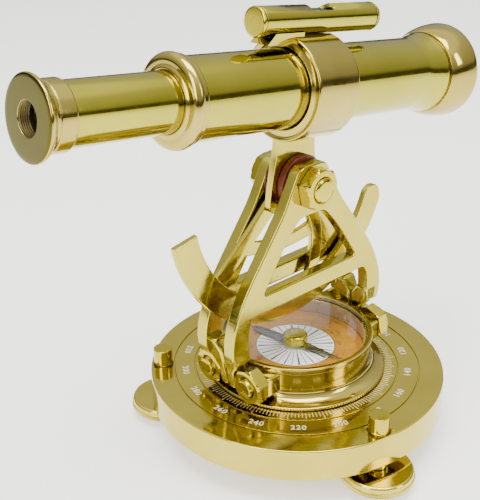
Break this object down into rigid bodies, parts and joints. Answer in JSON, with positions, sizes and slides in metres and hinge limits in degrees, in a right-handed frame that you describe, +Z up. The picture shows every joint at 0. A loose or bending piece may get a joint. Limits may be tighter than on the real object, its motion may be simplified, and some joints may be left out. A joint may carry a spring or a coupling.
{
  "type": "theodolite",
  "caption": "Brass desk theodolite: telescope with spirit level and vertical arc on two A-frames over a compass bowl, turning on a graduated disc with levelling screws.",
  "frame": {"origin": "centre of the base's flat underside, on the spindle's axis", "axes": "+Z up along the spindle; +X towards the objective end of the telescope; +Y along the tilting axis, away from the front A-frame"},
  "size_m": [0.1864, 0.1172, 0.159],
  "materials": {
    "drawn_brass": "polished",
    "cast_brass": "polished",
    "dial_enamel": "satin",
    "clear_glass": "gloss",
    "lens_glass": "gloss",
    "vial_glass": "gloss",
    "fibre": "matt",
    "needle_steel": "satin"
  },
  "bodies": {
    "base": {"base_plate": "drawn_brass", "base_cover": "drawn_brass"},
    "alidade": {"centre_spindle": "drawn_brass", "spindle_washer": "drawn_brass", "spindle_nut": "drawn_brass", "compass_bowl": "cast_brass", "compass_dial": "dial_enamel", "needle_pivot": "drawn_brass", "compass_glass": "clear_glass", "bezel_ring": "cast_brass", "front_a_frame": "cast_brass", "rear_a_frame": "cast_brass", "pivot_bolt": "drawn_brass", "pivot_nut_front": "drawn_brass", "pivot_nut_rear": "drawn_brass", "washer_front": "fibre", "washer_rear": "fibre", "foot_stud_front_left": "drawn_brass", "foot_stud_front_right": "drawn_brass", "foot_stud_rear_left": "drawn_brass", "foot_stud_rear_right": "drawn_brass", "foot_nut_front_left": "drawn_brass", "foot_nut_front_right": "drawn_brass", "foot_nut_rear_left": "drawn_brass", "foot_nut_rear_right": "drawn_brass"},
    "needle": {"compass_needle": "needle_steel", "needle_cap": "drawn_brass"},
    "telescope": {"collar": "cast_brass", "main_tube": "drawn_brass", "tube_end_ring": "cast_brass", "objective_ring": "cast_brass", "objective_lens": "lens_glass", "lens_retainer": "drawn_brass", "level_case": "drawn_brass", "level_cap_front": "drawn_brass", "level_cap_rear": "drawn_brass", "level_vial": "vial_glass", "vertical_arc": "cast_brass"},
    "eyepiece": {"draw_tube": "drawn_brass", "eyepiece_cup": "cast_brass", "eye_lens": "lens_glass", "draw_stop_ring": "drawn_brass"},
    "foot_1": {"foot_tip_1": "drawn_brass"},
    "levelling_1": {"levelling_screw_1": "drawn_brass", "levelling_knob_1": "drawn_brass"},
    "foot_2": {"foot_tip_2": "drawn_brass"},
    "levelling_2": {"levelling_screw_2": "drawn_brass", "levelling_knob_2": "drawn_brass"},
    "foot_3": {"foot_tip_3": "drawn_brass"},
    "levelling_3": {"levelling_screw_3": "drawn_brass", "levelling_knob_3": "drawn_brass"}
  },
  "joints": [
    {"name": "alidade_turn", "type": "hinge", "parent": "base", "child": "alidade", "pos_m": [0, 0, 0], "axis": [0, 0, 1], "continuous": true},
    {"name": "needle_swing", "type": "hinge", "parent": "alidade", "child": "needle", "pos_m": [0, 0, 0.0189], "axis": [0, 0, 1], "continuous": true},
    {"name": "telescope_tilt", "type": "hinge", "parent": "alidade", "child": "telescope", "pos_m": [0, 0, 0.0854], "axis": [0, 1, 0], "range_deg": [-60, 55]},
    {"name": "focus_slide", "type": "slide", "parent": "telescope", "child": "eyepiece", "axis": [0.9937, 0, -0.112], "range_m": [-0.004, 0.028]},
    {"name": "foot_1_lift", "type": "slide", "parent": "base", "child": "foot_1", "axis": [0, 0, 1], "range_m": [-0.003, 0.0018]},
    {"name": "levelling_1_turn", "type": "hinge", "parent": "foot_1", "child": "levelling_1", "pos_m": [-0.03728, 0.03392, 0], "axis": [0, 0, 1], "range_deg": [-866, 520]},
    {"name": "foot_2_lift", "type": "slide", "parent": "base", "child": "foot_2", "axis": [0, 0, 1], "range_m": [-0.003, 0.0018]},
    {"name": "levelling_2_turn", "type": "hinge", "parent": "foot_2", "child": "levelling_2", "pos_m": [-0.01074, -0.04924, 0], "axis": [0, 0, 1], "range_deg": [-866, 520]},
    {"name": "foot_3_lift", "type": "slide", "parent": "base", "child": "foot_3", "axis": [0, 0, 1], "range_m": [-0.003, 0.0018]},
    {"name": "levelling_3_turn", "type": "hinge", "parent": "foot_3", "child": "levelling_3", "pos_m": [0.04801, 0.01532, 0], "axis": [0, 0, 1], "range_deg": [-866, 520]}
  ],
  "couplings": [
    {"joint": "levelling_1_turn", "follows": "foot_1_lift", "rad_per_m": 5026.5},
    {"joint": "levelling_2_turn", "follows": "foot_2_lift", "rad_per_m": 5026.5},
    {"joint": "levelling_3_turn", "follows": "foot_3_lift", "rad_per_m": 5026.5}
  ]
}
